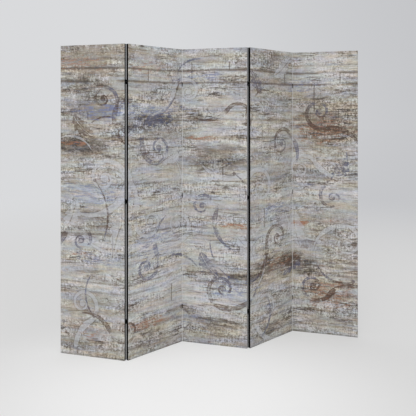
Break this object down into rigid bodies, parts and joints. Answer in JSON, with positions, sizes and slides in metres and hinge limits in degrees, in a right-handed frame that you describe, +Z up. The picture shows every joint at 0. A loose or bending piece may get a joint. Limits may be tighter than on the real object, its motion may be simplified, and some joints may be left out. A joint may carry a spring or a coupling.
{
  "type": "folding room divider",
  "caption": "Folding room divider of tall printed canvas panels on timber frames with black edges, hinged edge to edge so that it stands in a zigzag, opens flat or folds up.",
  "frame": {"origin": "on the floor under the centre of the middle panel, which is the bottom centre of the standing screen", "axes": "+Z up, +X along the zigzag from panel 1 to panel 5, -Y towards the side that the picture shows, +Y the shallow depth of the zigzag"},
  "size_m": [1.7972, 0.2178, 1.78],
  "materials": {
    "front_print": "matt printed canvas, weathered whitewashed boards with faded scrolls",
    "back_print": "matt printed canvas, like the front",
    "edge_band": "satin black edge band",
    "timber": "planed softwood",
    "hinge": "black, satin",
    "screw": "black, satin"
  },
  "bodies": {
    "panel_1": {"panel_1_left_stile": "timber", "panel_1_right_stile": "timber", "panel_1_top_rail": "timber", "panel_1_bottom_rail": "timber", "panel_1_cross_rails": "timber", "panel_1_front_canvas": "front_print", "panel_1_back_canvas": "back_print", "panel_1_edge_band": "edge_band", "panel_1_hinge_screws": "screw", "hinge_1_2_left_leaves": "hinge", "hinge_1_2_pins": "hinge"},
    "panel_2": {"panel_2_left_stile": "timber", "panel_2_right_stile": "timber", "panel_2_top_rail": "timber", "panel_2_bottom_rail": "timber", "panel_2_cross_rails": "timber", "panel_2_front_canvas": "front_print", "panel_2_back_canvas": "back_print", "panel_2_edge_band": "edge_band", "panel_2_hinge_screws": "screw", "hinge_2_3_left_leaves": "hinge", "hinge_2_3_pins": "hinge", "hinge_1_2_right_leaves": "hinge"},
    "panel_3": {"panel_3_left_stile": "timber", "panel_3_right_stile": "timber", "panel_3_top_rail": "timber", "panel_3_bottom_rail": "timber", "panel_3_cross_rails": "timber", "panel_3_front_canvas": "front_print", "panel_3_back_canvas": "back_print", "panel_3_edge_band": "edge_band", "panel_3_hinge_screws": "screw", "hinge_3_4_left_leaves": "hinge", "hinge_3_4_pins": "hinge", "hinge_2_3_right_leaves": "hinge"},
    "panel_4": {"panel_4_left_stile": "timber", "panel_4_right_stile": "timber", "panel_4_top_rail": "timber", "panel_4_bottom_rail": "timber", "panel_4_cross_rails": "timber", "panel_4_front_canvas": "front_print", "panel_4_back_canvas": "back_print", "panel_4_edge_band": "edge_band", "panel_4_hinge_screws": "screw", "hinge_4_5_left_leaves": "hinge", "hinge_4_5_pins": "hinge", "hinge_3_4_right_leaves": "hinge"},
    "panel_5": {"panel_5_left_stile": "timber", "panel_5_right_stile": "timber", "panel_5_top_rail": "timber", "panel_5_bottom_rail": "timber", "panel_5_cross_rails": "timber", "panel_5_front_canvas": "front_print", "panel_5_back_canvas": "back_print", "panel_5_edge_band": "edge_band", "panel_5_hinge_screws": "screw", "hinge_4_5_right_leaves": "hinge"}
  },
  "joints": [
    {"name": "fold_2_3", "type": "hinge", "parent": "panel_3", "child": "panel_2", "pos_m": [-0.17988, 0.09173, 0.89], "axis": [0, 0, 1], "range_deg": [-60, 117]},
    {"name": "fold_1_2", "type": "hinge", "parent": "panel_2", "child": "panel_1", "pos_m": [-0.53965, -0.09173, 0.89], "axis": [0, 0, -1], "range_deg": [-60, 120]},
    {"name": "fold_3_4", "type": "hinge", "parent": "panel_3", "child": "panel_4", "pos_m": [0.17988, -0.09173, 0.89], "axis": [0, 0, 1], "range_deg": [-60, 117]},
    {"name": "fold_4_5", "type": "hinge", "parent": "panel_4", "child": "panel_5", "pos_m": [0.53965, 0.09173, 0.89], "axis": [0, 0, -1], "range_deg": [-60, 120]}
  ]
}
